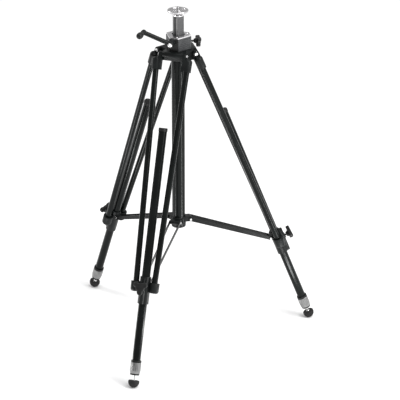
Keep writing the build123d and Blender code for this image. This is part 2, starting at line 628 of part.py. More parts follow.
def shoulder_arm():
    low = HINGE_Z - SHOULDER_DROP
    outline = Polyline((0, low), (SHOULDER_FOOT_REACH, low), (HINGE_REACH, HINGE_Z - ARM_END_DROP),
                       (HINGE_REACH + EYE_R, HINGE_Z), (HINGE_REACH, HINGE_Z + EYE_R),
                       (HOUSING_CORNER_REACH, SHOULDER_TOP), (0, SHOULDER_TOP), close=True)
    slab = Rot(90, 0, 0) * extrude(make_face(outline), SHOULDER_HALF, both=True)
    barrel = Pos(HINGE_REACH, 0, HINGE_Z) * cross_rod(EYE_R, -SHOULDER_HALF, SHOULDER_HALF)
    return slab + barrel


def shoulder_casting():
    body = Rot(0, 0, LEG_AZIMUTHS["front"]) * shoulder_arm()
    body = body + Rot(0, 0, LEG_AZIMUTHS["right"]) * shoulder_arm()
    body = body + Rot(0, 0, LEG_AZIMUTHS["left"]) * shoulder_arm()
    low = HINGE_Z - SHOULDER_DROP
    body = body - rod(GUARD_R + SEAT_FIT, low, GUARD_TOP)
    body = body - rod(GUARD_R - GUARD_WALL, low, SHOULDER_TOP)
    drill = Pos(HINGE_REACH, 0, HINGE_Z)
    for azimuth in LEG_AZIMUTHS.values():
        for side in (-1, 1):
            start = side * (SHOULDER_HALF - HINGE_BOLT_DEPTH)
            hole = drill * cross_rod(HINGE_BOLT_R + SEAT_FIT, start, side * 2 * SHOULDER_HALF)
            body = body - Rot(0, 0, azimuth) * hole
    return body


def wide_face_frame(azimuth):
    """Frame on a wide face of the housing, midway between two legs, with X pointing out."""
    a = radians(30)
    reach = HOUSING_CORNER_HALF * cos(a) + HOUSING_CORNER_REACH * sin(a)
    return Rot(0, 0, azimuth + 60) * Pos(reach, 0, 0)


def gear_housing():
    body = tri_prism(HOUSING_CORNER_REACH, HOUSING_CORNER_HALF, SHOULDER_TOP, HOUSING_TOP, HOUSING_ROUND)
    pitch = (HOUSING_HEIGHT - 2 * RIDGE_W) / RIDGE_COUNT
    width = 2 * HOUSING_CORNER_REACH * cos(radians(30)) - 2 * HOUSING_CORNER_HALF
    for azimuth in LEG_AZIMUTHS.values():
        for index in range(RIDGE_COUNT):
            height = SHOULDER_TOP + RIDGE_W + (index + 0.5) * pitch
            groove = Pos(0, 0, height) * Box(2 * RIDGE_DEPTH, width, RIDGE_W)
            body = body - wide_face_frame(azimuth) * groove
    body = body - column_outline(BUSH_WALL + SEAT_FIT, SHOULDER_TOP, HOUSING_TOP, 0)
    body = body - crank_line(SHAFT_R + RUN_FIT, 0, HOUSING_CORNER_REACH)
    body = body - pinion_room()
    body = body - crank_line(FLANGE_R / 2 + SEAT_FIT, HOUSING_CORNER_REACH - FLANGE_T, HOUSING_CORNER_REACH)
    return body - lock_line(LOCK_SCREW_R + RUN_FIT, 0, HOUSING_CORNER_REACH)


def crank_line(radius, near, far):
    """Cylinder along the crank's axis, between two distances in front of the column axis."""
    return Pos(CRANK_SIDE, 0, CRANK_Z) * Rot(90, 0, 0) * rod(radius, near, far)


def pinion_room():
    outer = PITCH_R + RACK_ADDENDUM * GEAR_MODULE
    return crank_line(outer + SIDE_GAP, 0, COLUMN_CORNER_REACH)


def lock_line(radius, near, far):
    """Cylinder along the column lock's axis, which points at the right leg."""
    height = SHOULDER_TOP + HOUSING_HEIGHT / 2
    return Rot(0, 0, LEG_AZIMUTHS["right"]) * Pos(0, 0, height) * out_rod(radius, near, far)


def cover_screw_place(azimuth):
    reach = HOUSING_CORNER_REACH - COVER_SCREW_INSET
    return Rot(0, 0, azimuth) * Pos(reach, HOUSING_CORNER_HALF / 2, 0)


def housing_cover():
    reach = HOUSING_CORNER_REACH - COVER_INSET
    plate = tri_prism(reach, HOUSING_CORNER_HALF - COVER_INSET / 2, COVER_BOTTOM, COVER_TOP, HOUSING_ROUND)
    plate = chamfer(plate.faces().sort_by(Axis.Z)[-1].edges(), COVER_CHAMFER)
    lip = tri_prism(reach - 2 * COVER_GAP_T, HOUSING_CORNER_HALF - 2 * COVER_GAP_T,
                    HOUSING_TOP, COVER_BOTTOM, 0)
    plate = plate + lip - column_outline(COVER_OPENING, HOUSING_TOP, COVER_TOP, 0)
    for azimuth in LEG_AZIMUTHS.values():
        hole = rod(COVER_SCREW_R / 2 + SEAT_FIT, HOUSING_TOP, COVER_TOP)
        plate = plate - cover_screw_place(azimuth) * hole
    return plate


def cover_screw():
    head = rod(COVER_SCREW_R, COVER_TOP + SEAT_FIT, COVER_TOP + COVER_SCREW_T)
    head = fillet(head.edges().sort_by(Axis.Z)[-1], COVER_SCREW_T * HEAD_ROUND_SHARE)
    return head + rod(COVER_SCREW_R / 2, HOUSING_TOP + SEAT_FIT, COVER_TOP + SEAT_FIT)


def column_bush():
    bush = column_outline(BUSH_WALL, SHOULDER_TOP, HOUSING_TOP, 0)
    bush = bush - column_outline(2 * RUN_FIT, SHOULDER_TOP, HOUSING_TOP, 0)
    bush = bush - crank_line(SHAFT_R + SIDE_GAP, 0, HOUSING_CORNER_REACH) - pinion_room()
    return bush - lock_line(LOCK_SCREW_R + SIDE_GAP, 0, HOUSING_CORNER_REACH)


def crank_bush():
    flange = crank_line(FLANGE_R, HOUSING_CORNER_REACH + SEAT_FIT, HOUSING_CORNER_REACH + FLANGE_T)
    spigot = crank_line(FLANGE_R / 2, HOUSING_CORNER_REACH - FLANGE_T + SEAT_FIT,
                        HOUSING_CORNER_REACH + FLANGE_T)
    return flange + spigot - crank_line(SHAFT_R + RUN_FIT, 0, ARM_HUB_START)


# ---- Crank --------------------------------------------------------------------------------


def involute_roll(radius, base):
    """Angle swept by the involute of a base circle, up to a radius."""
    turn = sqrt(max((radius / base) ** 2 - 1, 0))
    return turn - atan2(turn, 1)


def pinion_outline():
    base = PITCH_R * cos(radians(PRESSURE_ANGLE))
    outer = PITCH_R + RACK_ADDENDUM * GEAR_MODULE
    root = PITCH_R - RACK_DEDENDUM * GEAR_MODULE
    half = pi / (2 * PINION_TEETH) - TOOTH_PLAY / (2 * PITCH_R) + involute_roll(PITCH_R, base)
    flank = [(root, half)]
    for index in range(FLANK_STEPS + 1):
        radius = base + (outer - base) * index / FLANK_STEPS
        flank.append((radius, half - involute_roll(radius, base)))
    outline = []
    for tooth in range(PINION_TEETH):
        middle = 2 * pi * tooth / PINION_TEETH
        for radius, angle in flank:
            outline.append((radius * cos(middle - angle), radius * sin(middle - angle)))
        for radius, angle in reversed(flank):
            outline.append((radius * cos(middle + angle), radius * sin(middle + angle)))
    return make_face(Polyline(*outline, close=True))


def crank_shaft():
    front = RACK_FRONT - SIDE_GAP
    pinion = Pos(CRANK_SIDE, -front + PINION_WIDTH, CRANK_Z) * Rot(90, 0, 0) * extrude(
        pinion_outline(), PINION_WIDTH)
    return pinion + crank_line(SHAFT_R, front, ARM_HUB_END - CRANK_SCREW_T)


def crank_arm():
    hub = crank_line(ARM_HUB_R, ARM_HUB_START, ARM_HUB_END)
    hub = chamfer(hub.edges(), ARM_CHAMFER)
    start = Vector(CRANK_SIDE, -ARM_START, CRANK_Z)
    end = Vector(*ELBOW)
    along = end - start
    beam = Plane(origin=start, z_dir=along) * extrude(Circle(ARM_R), along.length)
    knuckle = grip_line(KNUCKLE_R, -KNUCKLE_HALF, KNUCKLE_HALF)
    knuckle = fillet(knuckle.edges(), KNUCKLE_ROUND)
    arm = hub + beam + knuckle
    arm = arm - crank_line(SHAFT_R + SEAT_FIT, 0, 2 * ARM_HUB_END)
    arm = arm - grip_line(2 * KNUCKLE_R, KNUCKLE_HALF, 2 * KNUCKLE_R)
    return arm - grip_line(GRIP_PIN_R + SEAT_FIT, 0, KNUCKLE_HALF)


def crank_screw():
    head = crank_line(CRANK_SCREW_R, ARM_HUB_END + SEAT_FIT, ARM_HUB_END + CRANK_SCREW_T)
    head = fillet(head.edges().sort_by(Axis.Y)[0], CRANK_SCREW_T * HEAD_ROUND_SHARE)
    return head + crank_line(SHAFT_R, ARM_HUB_END - CRANK_SCREW_T + SEAT_FIT, ARM_HUB_END + SEAT_FIT)


def grip_line(radius, near, far):
    """Cylinder along the grip's axis, between two distances in front of the elbow."""
    return Pos(*ELBOW) * Rot(90, 0, 0) * rod(radius, near, far)


def grip_pin():
    return grip_line(GRIP_PIN_R, SEAT_FIT, KNUCKLE_HALF + GRIP_LENGTH / 2)


def crank_grip():
    start = KNUCKLE_HALF + SIDE_GAP
    end = start + GRIP_LENGTH
    waist_end = start + GRIP_LENGTH * GRIP_WAIST_SHARE
    outline = Polyline((0, start), (GRIP_WAIST_R, start), (GRIP_WAIST_R, waist_end),
                       (GRIP_R, start + GRIP_LENGTH / 2 + SIDE_GAP), (GRIP_R, end - GRIP_R))
    nose = RadiusArc((GRIP_R, end - GRIP_R), (0, end), -GRIP_R)
    axis_line = Line((0, end), (0, start))
    profile = make_face(outline + nose + axis_line)
    body = revolve(Rot(90, 0, 0) * profile, Axis.Z)
    body = Pos(*ELBOW) * Rot(90, 0, 0) * body
    return body - grip_line(GRIP_PIN_R + RUN_FIT, 0, KNUCKLE_HALF + GRIP_LENGTH / 2 + SIDE_GAP)


def column_knob():
    height = SHOULDER_TOP + HOUSING_HEIGHT / 2
    tip = COLUMN_CORNER_REACH + SIDE_GAP
    knob = lobed_knob(COLUMN_KNOB_R, COLUMN_KNOB_T, COLUMN_KNOB_REACH, tip, 0)
    knob = Pos(0, 0, height) * knob
    return turned(knob, LEG_AZIMUTHS["right"])


# ---- Write every node ---------------------------------------------------------------------

os.makedirs("parts", exist_ok=True)

for name, azimuth in LEG_AZIMUTHS.items():
    save(turned(group([upper_tube(-1), upper_tube(1)]), azimuth), f"upper_tubes_{name}")
    save(turned(group([tube_end(-1), tube_end(1)]), azimuth), f"hinge_ends_{name}")
    save(turned(leg_casting(), azimuth), f"leg_casting_{name}")
    save(turned(leg_knob(name), azimuth), f"leg_lock_knob_{name}")
    save(turned(lower_tube(), azimuth), f"lower_tube_{name}")
    save(turned(lower_tube_ends(), azimuth), f"lower_tube_ends_{name}")
    save(turned(twist_collar(), azimuth), f"twist_collar_{name}")
    save(turned(inner_tube(), azimuth), f"inner_tube_{name}")
    save(turned(foot_stem(), azimuth), f"foot_stem_{name}")
    save(turned(foot_rubber(), azimuth), f"foot_rubber_{name}")
    save(turned(group([strut_bar(-1), strut_bar(1)]), azimuth), f"strut_bars_{name}")
    screws = group([hub_strut_screws(), lug_strut_screws()])
    save(turned(screws, azimuth), f"strut_screws_{name}")

save(thirds(group([hinge_bolt(-1), hinge_bolt(1)])), "leg_hinge_bolts")
save(centred(shoulder_casting()), "shoulder_casting")
save(centred(gear_housing()), "gear_housing")
save(centred(housing_cover()), "housing_cover")
save(group(centred(cover_screw_place(a) * cover_screw()) for a in LEG_AZIMUTHS.values()), "cover_screws")
save(centred(column_bush()), "column_bush")
save(centred(crank_bush()), "crank_bush")
save(centred(guard_tube()), "guard_tube")
save(centred(guard_cap()), "guard_tube_cap")
save(centred(spreader_hub()), "spreader_hub")
save(centred(centre_column()), "centre_column")
save(centred(column_rack()), "column_rack")
save(centred(column_plug()), "column_end_plug")
save(centred(head_plate()), "head_plate")
save(centred(head_stud()), "head_stud")
save(plate_screws(), "plate_set_screws")
save(column_knob(), "column_lock_knob")
save(centred(crank_shaft()), "crank_shaft")
save(centred(crank_arm()), "crank_arm")
save(centred(crank_screw()), "crank_screw")
save(centred(grip_pin()), "grip_pin")
save(centred(crank_grip()), "crank_grip")
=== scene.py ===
import json
from math import asin, atan2, cos, pi, radians, sin

import bpy
from mathutils import Matrix, Vector


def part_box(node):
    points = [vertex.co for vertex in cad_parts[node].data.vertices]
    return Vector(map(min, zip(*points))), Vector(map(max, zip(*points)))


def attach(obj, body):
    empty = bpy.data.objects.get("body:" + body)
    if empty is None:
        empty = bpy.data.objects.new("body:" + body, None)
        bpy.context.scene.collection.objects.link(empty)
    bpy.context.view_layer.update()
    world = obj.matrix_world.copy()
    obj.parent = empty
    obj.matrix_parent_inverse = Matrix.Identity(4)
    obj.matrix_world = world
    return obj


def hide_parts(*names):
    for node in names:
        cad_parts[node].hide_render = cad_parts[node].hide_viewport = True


# Studio tripod with a crank-driven centre column. Everything is in metres, in the frame's own
# coordinates: +Z up, the front leg along -Y, and the feet on Z = 0.

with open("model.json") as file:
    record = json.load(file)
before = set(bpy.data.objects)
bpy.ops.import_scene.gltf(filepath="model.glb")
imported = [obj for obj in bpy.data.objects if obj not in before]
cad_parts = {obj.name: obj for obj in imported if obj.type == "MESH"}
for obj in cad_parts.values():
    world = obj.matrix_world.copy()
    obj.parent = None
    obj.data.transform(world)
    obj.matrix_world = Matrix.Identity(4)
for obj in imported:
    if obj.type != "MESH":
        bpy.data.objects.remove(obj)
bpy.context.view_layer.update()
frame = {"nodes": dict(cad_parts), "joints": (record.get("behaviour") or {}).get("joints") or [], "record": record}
joints = {joint["name"]: joint for joint in frame["joints"]}
LEGS = ("front", "right", "left")

guard_low, guard_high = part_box("guard_tube")
COLUMN_AXIS = Vector(((guard_low.x + guard_high.x) / 2, (guard_low.y + guard_high.y) / 2, 0))


# ---- Camera, light and floor --------------------------------------------------------------

CAMERA_REACH = 5.969          # column axis to the camera, level
CAMERA_HEIGHT = 2.9142
CAMERA_AZIMUTH = -71.1        # degrees, seen from the column
LOOK_AZIMUTH = 108.30         # the level direction that the camera looks in
LOOK_DOWN = 22.706
LENS_MM = 199.05
TARGET_HEIGHT = 0.5           # what the softboxes face
STRIP_HEIGHT = 0.004          # low strips above the floor


def add_camera():
    data = bpy.data.cameras.new("camera")
    data.sensor_width = 36.0
    data.lens = LENS_MM
    data.clip_end = 50.0
    camera = bpy.data.objects.new("camera", data)
    bpy.context.scene.collection.objects.link(camera)
    azimuth = radians(CAMERA_AZIMUTH)
    level = Vector((cos(azimuth), sin(azimuth), 0)) * CAMERA_REACH
    camera.location = COLUMN_AXIS + level + Vector((0, 0, CAMERA_HEIGHT))
    camera.rotation_euler = (radians(90 - LOOK_DOWN), 0, radians(LOOK_AZIMUTH - 90))
    bpy.context.scene.camera = camera


def add_softbox(name, azimuth, elevation, distance, size, power):
    data = bpy.data.lights.new(name, "AREA")
    data.shape = "RECTANGLE"
    data.size, data.size_y = size
    data.energy = power
    lamp = bpy.data.objects.new(name, data)
    bpy.context.scene.collection.objects.link(lamp)
    a, e = radians(azimuth), radians(elevation)
    target = COLUMN_AXIS + Vector((0, 0, TARGET_HEIGHT))
    lamp.location = target + Vector((cos(a) * cos(e), sin(a) * cos(e), sin(e))) * distance
    lamp.rotation_euler = (target - lamp.location).to_track_quat("-Z", "Y").to_euler()


def add_sun_bank(name, azimuth, elevation, spread, strength):
    """A wide overhead bank, far enough away to light the floor evenly."""
    data = bpy.data.lights.new(name, "SUN")
    data.angle = radians(spread)
    data.energy = strength
    lamp = bpy.data.objects.new(name, data)
    bpy.context.scene.collection.objects.link(lamp)
    a, e = radians(azimuth), radians(elevation)
    towards = Vector((cos(a) * cos(e), sin(a) * cos(e), sin(e)))
    lamp.rotation_euler = (-towards).to_track_quat("-Z", "Y").to_euler()


def add_low_strip(name, azimuth, near, far, width, power):
    """A narrow strip lying on the floor, which draws a thin pale line down the tubes."""
    data = bpy.data.lights.new(name, "AREA")
    data.shape = "RECTANGLE"
    data.size, data.size_y = far - near, width
    data.energy = power
    lamp = bpy.data.objects.new(name, data)
    bpy.context.scene.collection.objects.link(lamp)
    a = radians(azimuth)
    outward = Vector((cos(a), sin(a), 0))
    lamp.location = COLUMN_AXIS + outward * (near + far) / 2 + Vector((0, 0, STRIP_HEIGHT))
    lamp.rotation_euler = (pi, 0, a)
    lamp.visible_camera = False


def add_lights():
    bpy.context.scene.view_settings.view_transform = "Standard"
    world = bpy.data.worlds.new("studio")
    bpy.context.scene.world = world
    world.use_nodes = True
    world.node_tree.nodes["Background"].inputs["Color"].default_value = (1, 1, 1, 1)
    world.node_tree.nodes["Background"].inputs["Strength"].default_value = 0.5
    add_sun_bank("overhead_bank", azimuth=-10, elevation=62, spread=50, strength=1.7)
    add_softbox("key", azimuth=-18, elevation=30, distance=3.2, size=(1.4, 2.2), power=60)
    add_softbox("rim", azimuth=165, elevation=35, distance=3.2, size=(0.8, 2.2), power=30)
    add_low_strip("right_strip", azimuth=-11, near=0.35, far=2.6, width=0.09, power=15)
    add_low_strip("left_strip", azimuth=-131, near=0.35, far=2.6, width=0.07, power=9)


def add_floor():
    bpy.ops.object.select_all(action="DESELECT")
    bpy.ops.mesh.primitive_plane_add(size=40, location=(0, 0, 0))
    floor = bpy.context.object
    floor.name = "floor"
    floor.data.materials.append(floor_paper())


# ---- Materials ----------------------------------------------------------------------------


class Finish:
    """A material under construction, with short names for the nodes used here."""

    def __init__(self, name):
        self.material = bpy.data.materials.new(name)
        self.material.use_nodes = True
        self.nodes = self.material.node_tree.nodes
        self.links = self.material.node_tree.links
        self.shader = self.nodes["Principled BSDF"]
        self.place = self.nodes.new("ShaderNodeTexCoord").outputs["Object"]

    def set(self, **values):
        for name, value in values.items():
            self.shader.inputs[name.replace("_", " ")].default_value = value
        return self

    def stretch(self, scale):
        """Object coordinates, scaled by a different amount along each axis."""
        node = self.nodes.new("ShaderNodeMapping")
        node.inputs["Scale"].default_value = scale
        self.links.new(self.place, node.inputs["Vector"])
        return node.outputs["Vector"]

    def noise(self, scale, detail=3.0, roughness=0.55, where=None):
        node = self.nodes.new("ShaderNodeTexNoise")
        node.inputs["Scale"].default_value = scale
        node.inputs["Detail"].default_value = detail
        node.inputs["Roughness"].default_value = roughness
        self.links.new(where or self.place, node.inputs["Vector"])
        return node.outputs["Fac"]

    def ramp(self, value, low, high, at=(0.35, 0.65)):
        node = self.nodes.new("ShaderNodeValToRGB")
        node.color_ramp.elements[0].position = at[0]
        node.color_ramp.elements[1].position = at[1]
        node.color_ramp.elements[0].color = low
        node.color_ramp.elements[1].color = high
        self.links.new(value, node.inputs["Fac"])
        return node.outputs["Color"]

    def span(self, value, low, high, at=(0.3, 0.7)):
        node = self.nodes.new("ShaderNodeMapRange")
        node.inputs["From Min"].default_value = at[0]
        node.inputs["From Max"].default_value = at[1]
        node.inputs["To Min"].default_value = low
        node.inputs["To Max"].default_value = high
        self.links.new(value, node.inputs["Value"])
        return node.outputs["Result"]

    def blend(self, amount, first, second):
        node = self.nodes.new("ShaderNodeMix")
        node.data_type = "RGBA"
        self.links.new(amount, node.inputs["Factor"])
        for socket, colour in ((6, first), (7, second)):
            if isinstance(colour, tuple):
                node.inputs[socket].default_value = colour
            else:
                self.links.new(colour, node.inputs[socket])
        return node.outputs[2]

    def colour(self, value):
        self.links.new(value, self.shader.inputs["Base Color"])
        return self

    def rough(self, value):
        self.links.new(value, self.shader.inputs["Roughness"])
        return self

    def bump(self, height, strength, distance):
        node = self.nodes.new("ShaderNodeBump")
        node.inputs["Strength"].default_value = strength
        node.inputs["Distance"].default_value = distance
        self.links.new(height, node.inputs["Height"])
        self.links.new(node.outputs["Normal"], self.shader.inputs["Normal"])
        return self


def grey(level, green=1.0, blue=1.0):
    return (level, level * green, level * blue, 1)


def floor_paper():
    finish = Finish("floor_paper").set(Specular_IOR_Level=0.2)
    mottle = finish.noise(3.0)
    finish.colour(finish.ramp(mottle, grey(0.93), grey(0.95)))
    return finish.rough(finish.span(mottle, 0.75, 0.9)).material


def drawn_tube(name, dark, light, rough):
    """Black anodised drawn tube: faint die lines along its length and a few handling marks."""
    finish = Finish(name).set(Metallic=0.3, Specular_IOR_Level=0.22)
    lines = finish.noise(1.0, 4.0, 0.6, finish.stretch((900, 900, 6)))
    cloud = finish.noise(14.0, 4.0)
    marks = finish.noise(160.0, 6.0, 0.75)
    body = finish.ramp(cloud, dark, light)
    worn = finish.span(marks, 0.0, 0.35, (0.68, 0.8))
    finish.colour(finish.blend(worn, body, grey(0.06)))
    finish.rough(finish.span(lines, rough - 0.05, rough + 0.06))
    return finish.bump(lines, 0.05, 0.0002).material


def cast_paint(name, dark, light, rough):
    """Semi-gloss paint on a die casting: fine orange peel, with chips worn to bare metal."""
    finish = Finish(name).set(Specular_IOR_Level=0.2)
    peel = finish.noise(900.0, 2.0)
    cloud = finish.noise(22.0, 5.0)
    chips = finish.noise(240.0, 6.0, 0.8)
    body = finish.ramp(cloud, dark, light)
    worn = finish.span(chips, 0.0, 0.5, (0.7, 0.78))
    finish.colour(finish.blend(worn, body, grey(0.10)))
    finish.rough(finish.span(cloud, rough - 0.07, rough + 0.08))
    return finish.bump(peel, 0.16, 0.0003).material


def moulded_plastic(name, dark, light, rough):
    finish = Finish(name).set(Specular_IOR_Level=0.3)
    grain = finish.noise(1600.0, 3.0, 0.6)
    cloud = finish.noise(35.0, 4.0)
    finish.colour(finish.ramp(cloud, dark, light))
    finish.rough(finish.span(cloud, rough - 0.06, rough + 0.08))
    return finish.bump(grain, 0.25, 0.0003).material


def bare_metal(name, dark, light, rough, spread):
    """Machined aluminium or plating: turning marks, smudges and small dull patches."""
    finish = Finish(name).set(Metallic=1.0)
    cut = finish.noise(1.0, 3.0, 0.5, finish.stretch((500, 500, 2600)))
    cloud = finish.noise(40.0, 5.0, 0.6)
    finish.colour(finish.ramp(cloud, dark, light))
    finish.rough(finish.span(cloud, rough - spread, rough + spread))
    return finish.bump(cut, 0.12, 0.0002).material


def dull_rubber(name):
    finish = Finish(name).set(Specular_IOR_Level=0.35)
    grain = finish.noise(1200.0, 4.0, 0.7)
    dust = finish.noise(60.0, 6.0, 0.7)
    finish.colour(finish.ramp(dust, grey(0.010), grey(0.035), (0.45, 0.85)))
    finish.rough(finish.span(dust, 0.62, 0.82))
    return finish.bump(grain, 0.35, 0.0004).material


black_tube = drawn_tube("black_tube", grey(0.0030, 1.3, 1.25), grey(0.0065, 1.25, 1.2), 0.16)
satin_tube = drawn_tube("satin_tube", grey(0.085, 1.0, 1.02), grey(0.115, 1.0, 1.02), 0.42)
black_casting = cast_paint("black_casting", grey(0.0035, 1.25, 1.25), grey(0.0085, 1.2, 1.2), 0.36)
charcoal_casting = cast_paint("charcoal_casting", grey(0.045, 1.03, 1.08), grey(0.07, 1.03, 1.06), 0.42)
black_plastic = moulded_plastic("black_plastic", grey(0.004, 1.05, 1.05), grey(0.010, 1.05, 1.05), 0.42)
black_bar = cast_paint("black_bar", grey(0.004, 1.15, 1.15), grey(0.009, 1.1, 1.1), 0.34)
silver_metal = bare_metal("silver_metal", grey(0.58, 0.985, 1.0), grey(0.78, 0.985, 1.0), 0.24, 0.08)
collar_metal = bare_metal("collar_metal", grey(0.24), grey(0.38), 0.30, 0.08)
silver_tube = bare_metal("silver_tube", grey(0.60), grey(0.72), 0.24, 0.06)
chrome = bare_metal("chrome", grey(0.78), grey(0.90), 0.12, 0.05)
steel = bare_metal("steel", grey(0.38), grey(0.52), 0.34, 0.08)
rubber = dull_rubber("rubber")

SLOT_FINISH = {
    "black_tube": black_tube,
    "silver_tube": silver_tube,
    "black_casting": black_casting,
    "grey_casting": charcoal_casting,
    "black_plastic": black_plastic,
    "silver_metal": silver_metal,
    "chrome": chrome,
    "rubber": rubber,
    "black_bar": black_bar,
    "steel": steel,
}
NODE_FINISH = {"centre_column": satin_tube}


def finish_cad_nodes():
    slots = {entry["node"]: entry["material_slot"] for entry in frame["record"]["subparts"]}
    for node, obj in frame["nodes"].items():
        obj.data.materials.clear()
        obj.data.materials.append(NODE_FINISH.get(node, SLOT_FINISH[slots[node]]))


# ---- Modelling ----------------------------------------------------------------------------


def clear_selection():
    if bpy.context.mode != "OBJECT":
        bpy.ops.object.mode_set(mode="OBJECT")
    bpy.ops.object.select_all(action="DESELECT")


def pick(obj):
    clear_selection()
    obj.select_set(True)
    bpy.context.view_layer.objects.active = obj


def turned(name, profile, sides=64):
    """A piece turned about +Z at the origin, from its (radius, height) steps, lowest first."""
    clear_selection()
    radius, height = profile[0]
    bpy.ops.mesh.primitive_circle_add(vertices=sides, radius=radius, fill_type="NGON")
    piece = bpy.context.object
    piece.name = piece.data.name = name
    bpy.ops.object.mode_set(mode="EDIT")
    bpy.ops.mesh.select_all(action="SELECT")
    bpy.ops.transform.translate(value=(0, 0, height))
    for next_radius, next_height in profile[1:]:
        rise = (0, 0, next_height - height)
        bpy.ops.mesh.extrude_region_move(TRANSFORM_OT_translate={"value": rise})
        growth = next_radius / radius
        bpy.ops.transform.resize(value=(growth, growth, 1), center_override=(0, 0, 0))
        radius, height = next_radius, next_height
    bpy.ops.mesh.select_all(action="SELECT")
    bpy.ops.mesh.normals_make_consistent(inside=False)
    bpy.ops.object.mode_set(mode="OBJECT")
    return piece


def select_points(piece, wanted):
    """Leaves the piece in edit mode, with only the points that pass the test selected."""
    pick(piece)
    bpy.ops.object.mode_set(mode="EDIT")
    bpy.ops.mesh.select_mode(type="VERT")
    bpy.ops.mesh.select_all(action="DESELECT")
    bpy.ops.object.mode_set(mode="OBJECT")
    for point in piece.data.vertices:
        point.select = wanted(point.co)
    bpy.ops.object.mode_set(mode="EDIT")


def smooth(piece, angle=32):
    pick(piece)
    bpy.ops.object.shade_smooth_by_angle(angle=radians(angle))


def round_edges(piece, width, angle=38, segments=2):
    pick(piece)
    bevel = piece.modifiers.new("edge_round", "BEVEL")
    bevel.width = width
    bevel.segments = segments
    bevel.limit_method = "ANGLE"
    bevel.angle_limit = radians(angle)
    bpy.ops.object.modifier_apply(modifier=bevel.name)


def settle(piece, origin, axis):
    """Moves a piece drawn about +Z at the origin to its place, and keeps that place in its mesh."""
    facing = Vector(axis).to_track_quat("Z", "Y").to_matrix().to_4x4()
    piece.matrix_world = Matrix.Translation(Vector(origin)) @ facing
    pick(piece)
    bpy.ops.object.transform_apply(location=True, rotation=True, scale=True)


def join_to(piece, others):
    pick(piece)
    for other in others:
        other.select_set(True)
    bpy.ops.object.join()


def finish_piece(piece, body, slot, *nodes, finish=None):
    piece.data.materials.clear()
    piece.data.materials.append(finish or SLOT_FINISH[slot])
    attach(piece, body)
    if nodes:
        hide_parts(*nodes)


def joint_frame(name):
    return Vector(joints[name]["pos_m"]), Vector(joints[name]["axis"]).normalized()


# ---- Head plate and stud ------------------------------------------------------------------

RECESS_INSET = 0.008          # head plate's rim to the edge of its recess
RECESS_DEPTH = 0.0013
THREAD_PITCH = 0.001588       # 3/8 inch, 16 to the inch
THREAD_DEPTH = 0.0009
THREAD_END = 0.0009           # plain length under the stud's top face


def make_head_plate():
    low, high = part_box("head_plate")
    rim = (high.x - low.x) / 2
    base, top = low.z, high.z
    seat = rim - RECESS_INSET
    bed = top - RECESS_DEPTH
    cone = [(0.0182, base), (0.0186, base + 0.0004), (0.0190, base + 0.0022),
            (0.0204, base + 0.0042), (0.0240, base + 0.0072), (0.0268, base + 0.0096),
            (0.0278, base + 0.0104), (0.0278, base + 0.0112)]
    edge = [(rim - 0.0006, base + 0.0112), (rim, base + 0.0118), (rim, top - 0.0031),
            (rim - 0.0005, top - 0.0028), (rim - 0.0005, top - 0.0024), (rim, top - 0.0021),
            (rim, top - 0.0007), (rim - 0.0008, top)]
    recess = [(seat + 0.0004, top), (seat, top - 0.0004), (seat, top - 0.0011), (seat - 0.0003, bed),
              (0.0150, bed), (0.0148, top - 0.0016), (0.0142, top - 0.0016), (0.0140, bed)]
    boss = [(0.0084, bed), (0.0082, top - 0.0004), (0.0078, top - 0.0001), (0.0050, top - 0.0001)]
    plate = turned("head_plate_turned", cone + edge + recess + boss, 96)
    settle(plate, (COLUMN_AXIS.x, COLUMN_AXIS.y, 0), (0, 0, 1))
    smooth(plate)
    finish_piece(plate, "column", "silver_metal", "head_plate")


def make_head_stud():
    low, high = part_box("head_stud")
    crest = (high.x - low.x) / 2
    root = crest - THREAD_DEPTH
    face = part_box("head_plate")[1].z
    height = face + 0.0007
    profile = [(0.0035, low.z), (0.0035, face - 0.0002), (root, face - 0.0001), (root, height)]
    while height + THREAD_PITCH < high.z - THREAD_END:
        profile.append((crest, height + THREAD_PITCH * 0.42))
        profile.append((crest, height + THREAD_PITCH * 0.55))
        height += THREAD_PITCH
        profile.append((root, height))
    profile += [(crest - 0.0003, high.z - 0.0006), (crest - 0.0010, high.z), (0.0008, high.z)]
    stud = turned("head_stud_threaded", profile, 48)
    settle(stud, (COLUMN_AXIS.x, COLUMN_AXIS.y, 0), (0, 0, 1))
    smooth(stud, 24)
    finish_piece(stud, "column", "steel", "head_stud")


# ---- Twist collars and feet ---------------------------------------------------------------

COLLAR_R = 0.0154
COLLAR_END_R = 0.0140
FLUTES = 18
STEPS_PER_FLUTE = 6
FLUTE_SIDES = (2, 4)          # steps of each flute, on its sides and along its middle
FLUTE_MIDDLE = (3,)
SIDE_SHARE = 0.975            # what is left of the collar's radius there
MIDDLE_SHARE = 0.900
FLUTE_START = 0.0020
FLUTE_END = 0.0245
FLUTE_LEAST_R = 0.0145        # nearer the axis than this, a point isn't on the collar's outside

FOOT_R = 0.0160
FOOT_CROWN = 0.0045           # dome's centre to its flat crown
FOOT_STEPS = 31
MOULDING_STEP = 6             # where round the dome its moulding line and grooves run
GROOVE_STEPS = (15, 19)
MOULDING_SHARE = 1.006        # of the dome's radius, at each
GROOVE_SHARE = 0.982
COLLAR_TO_DOME = 0.0555


def in_flute(place, steps):
    if not FLUTE_START < place.z < FLUTE_END:
        return False
    if Vector((place.x, place.y)).length < FLUTE_LEAST_R:
        return False
    step = 2 * pi / (FLUTES * STEPS_PER_FLUTE)
    return round(atan2(place.y, place.x) / step) % STEPS_PER_FLUTE in steps


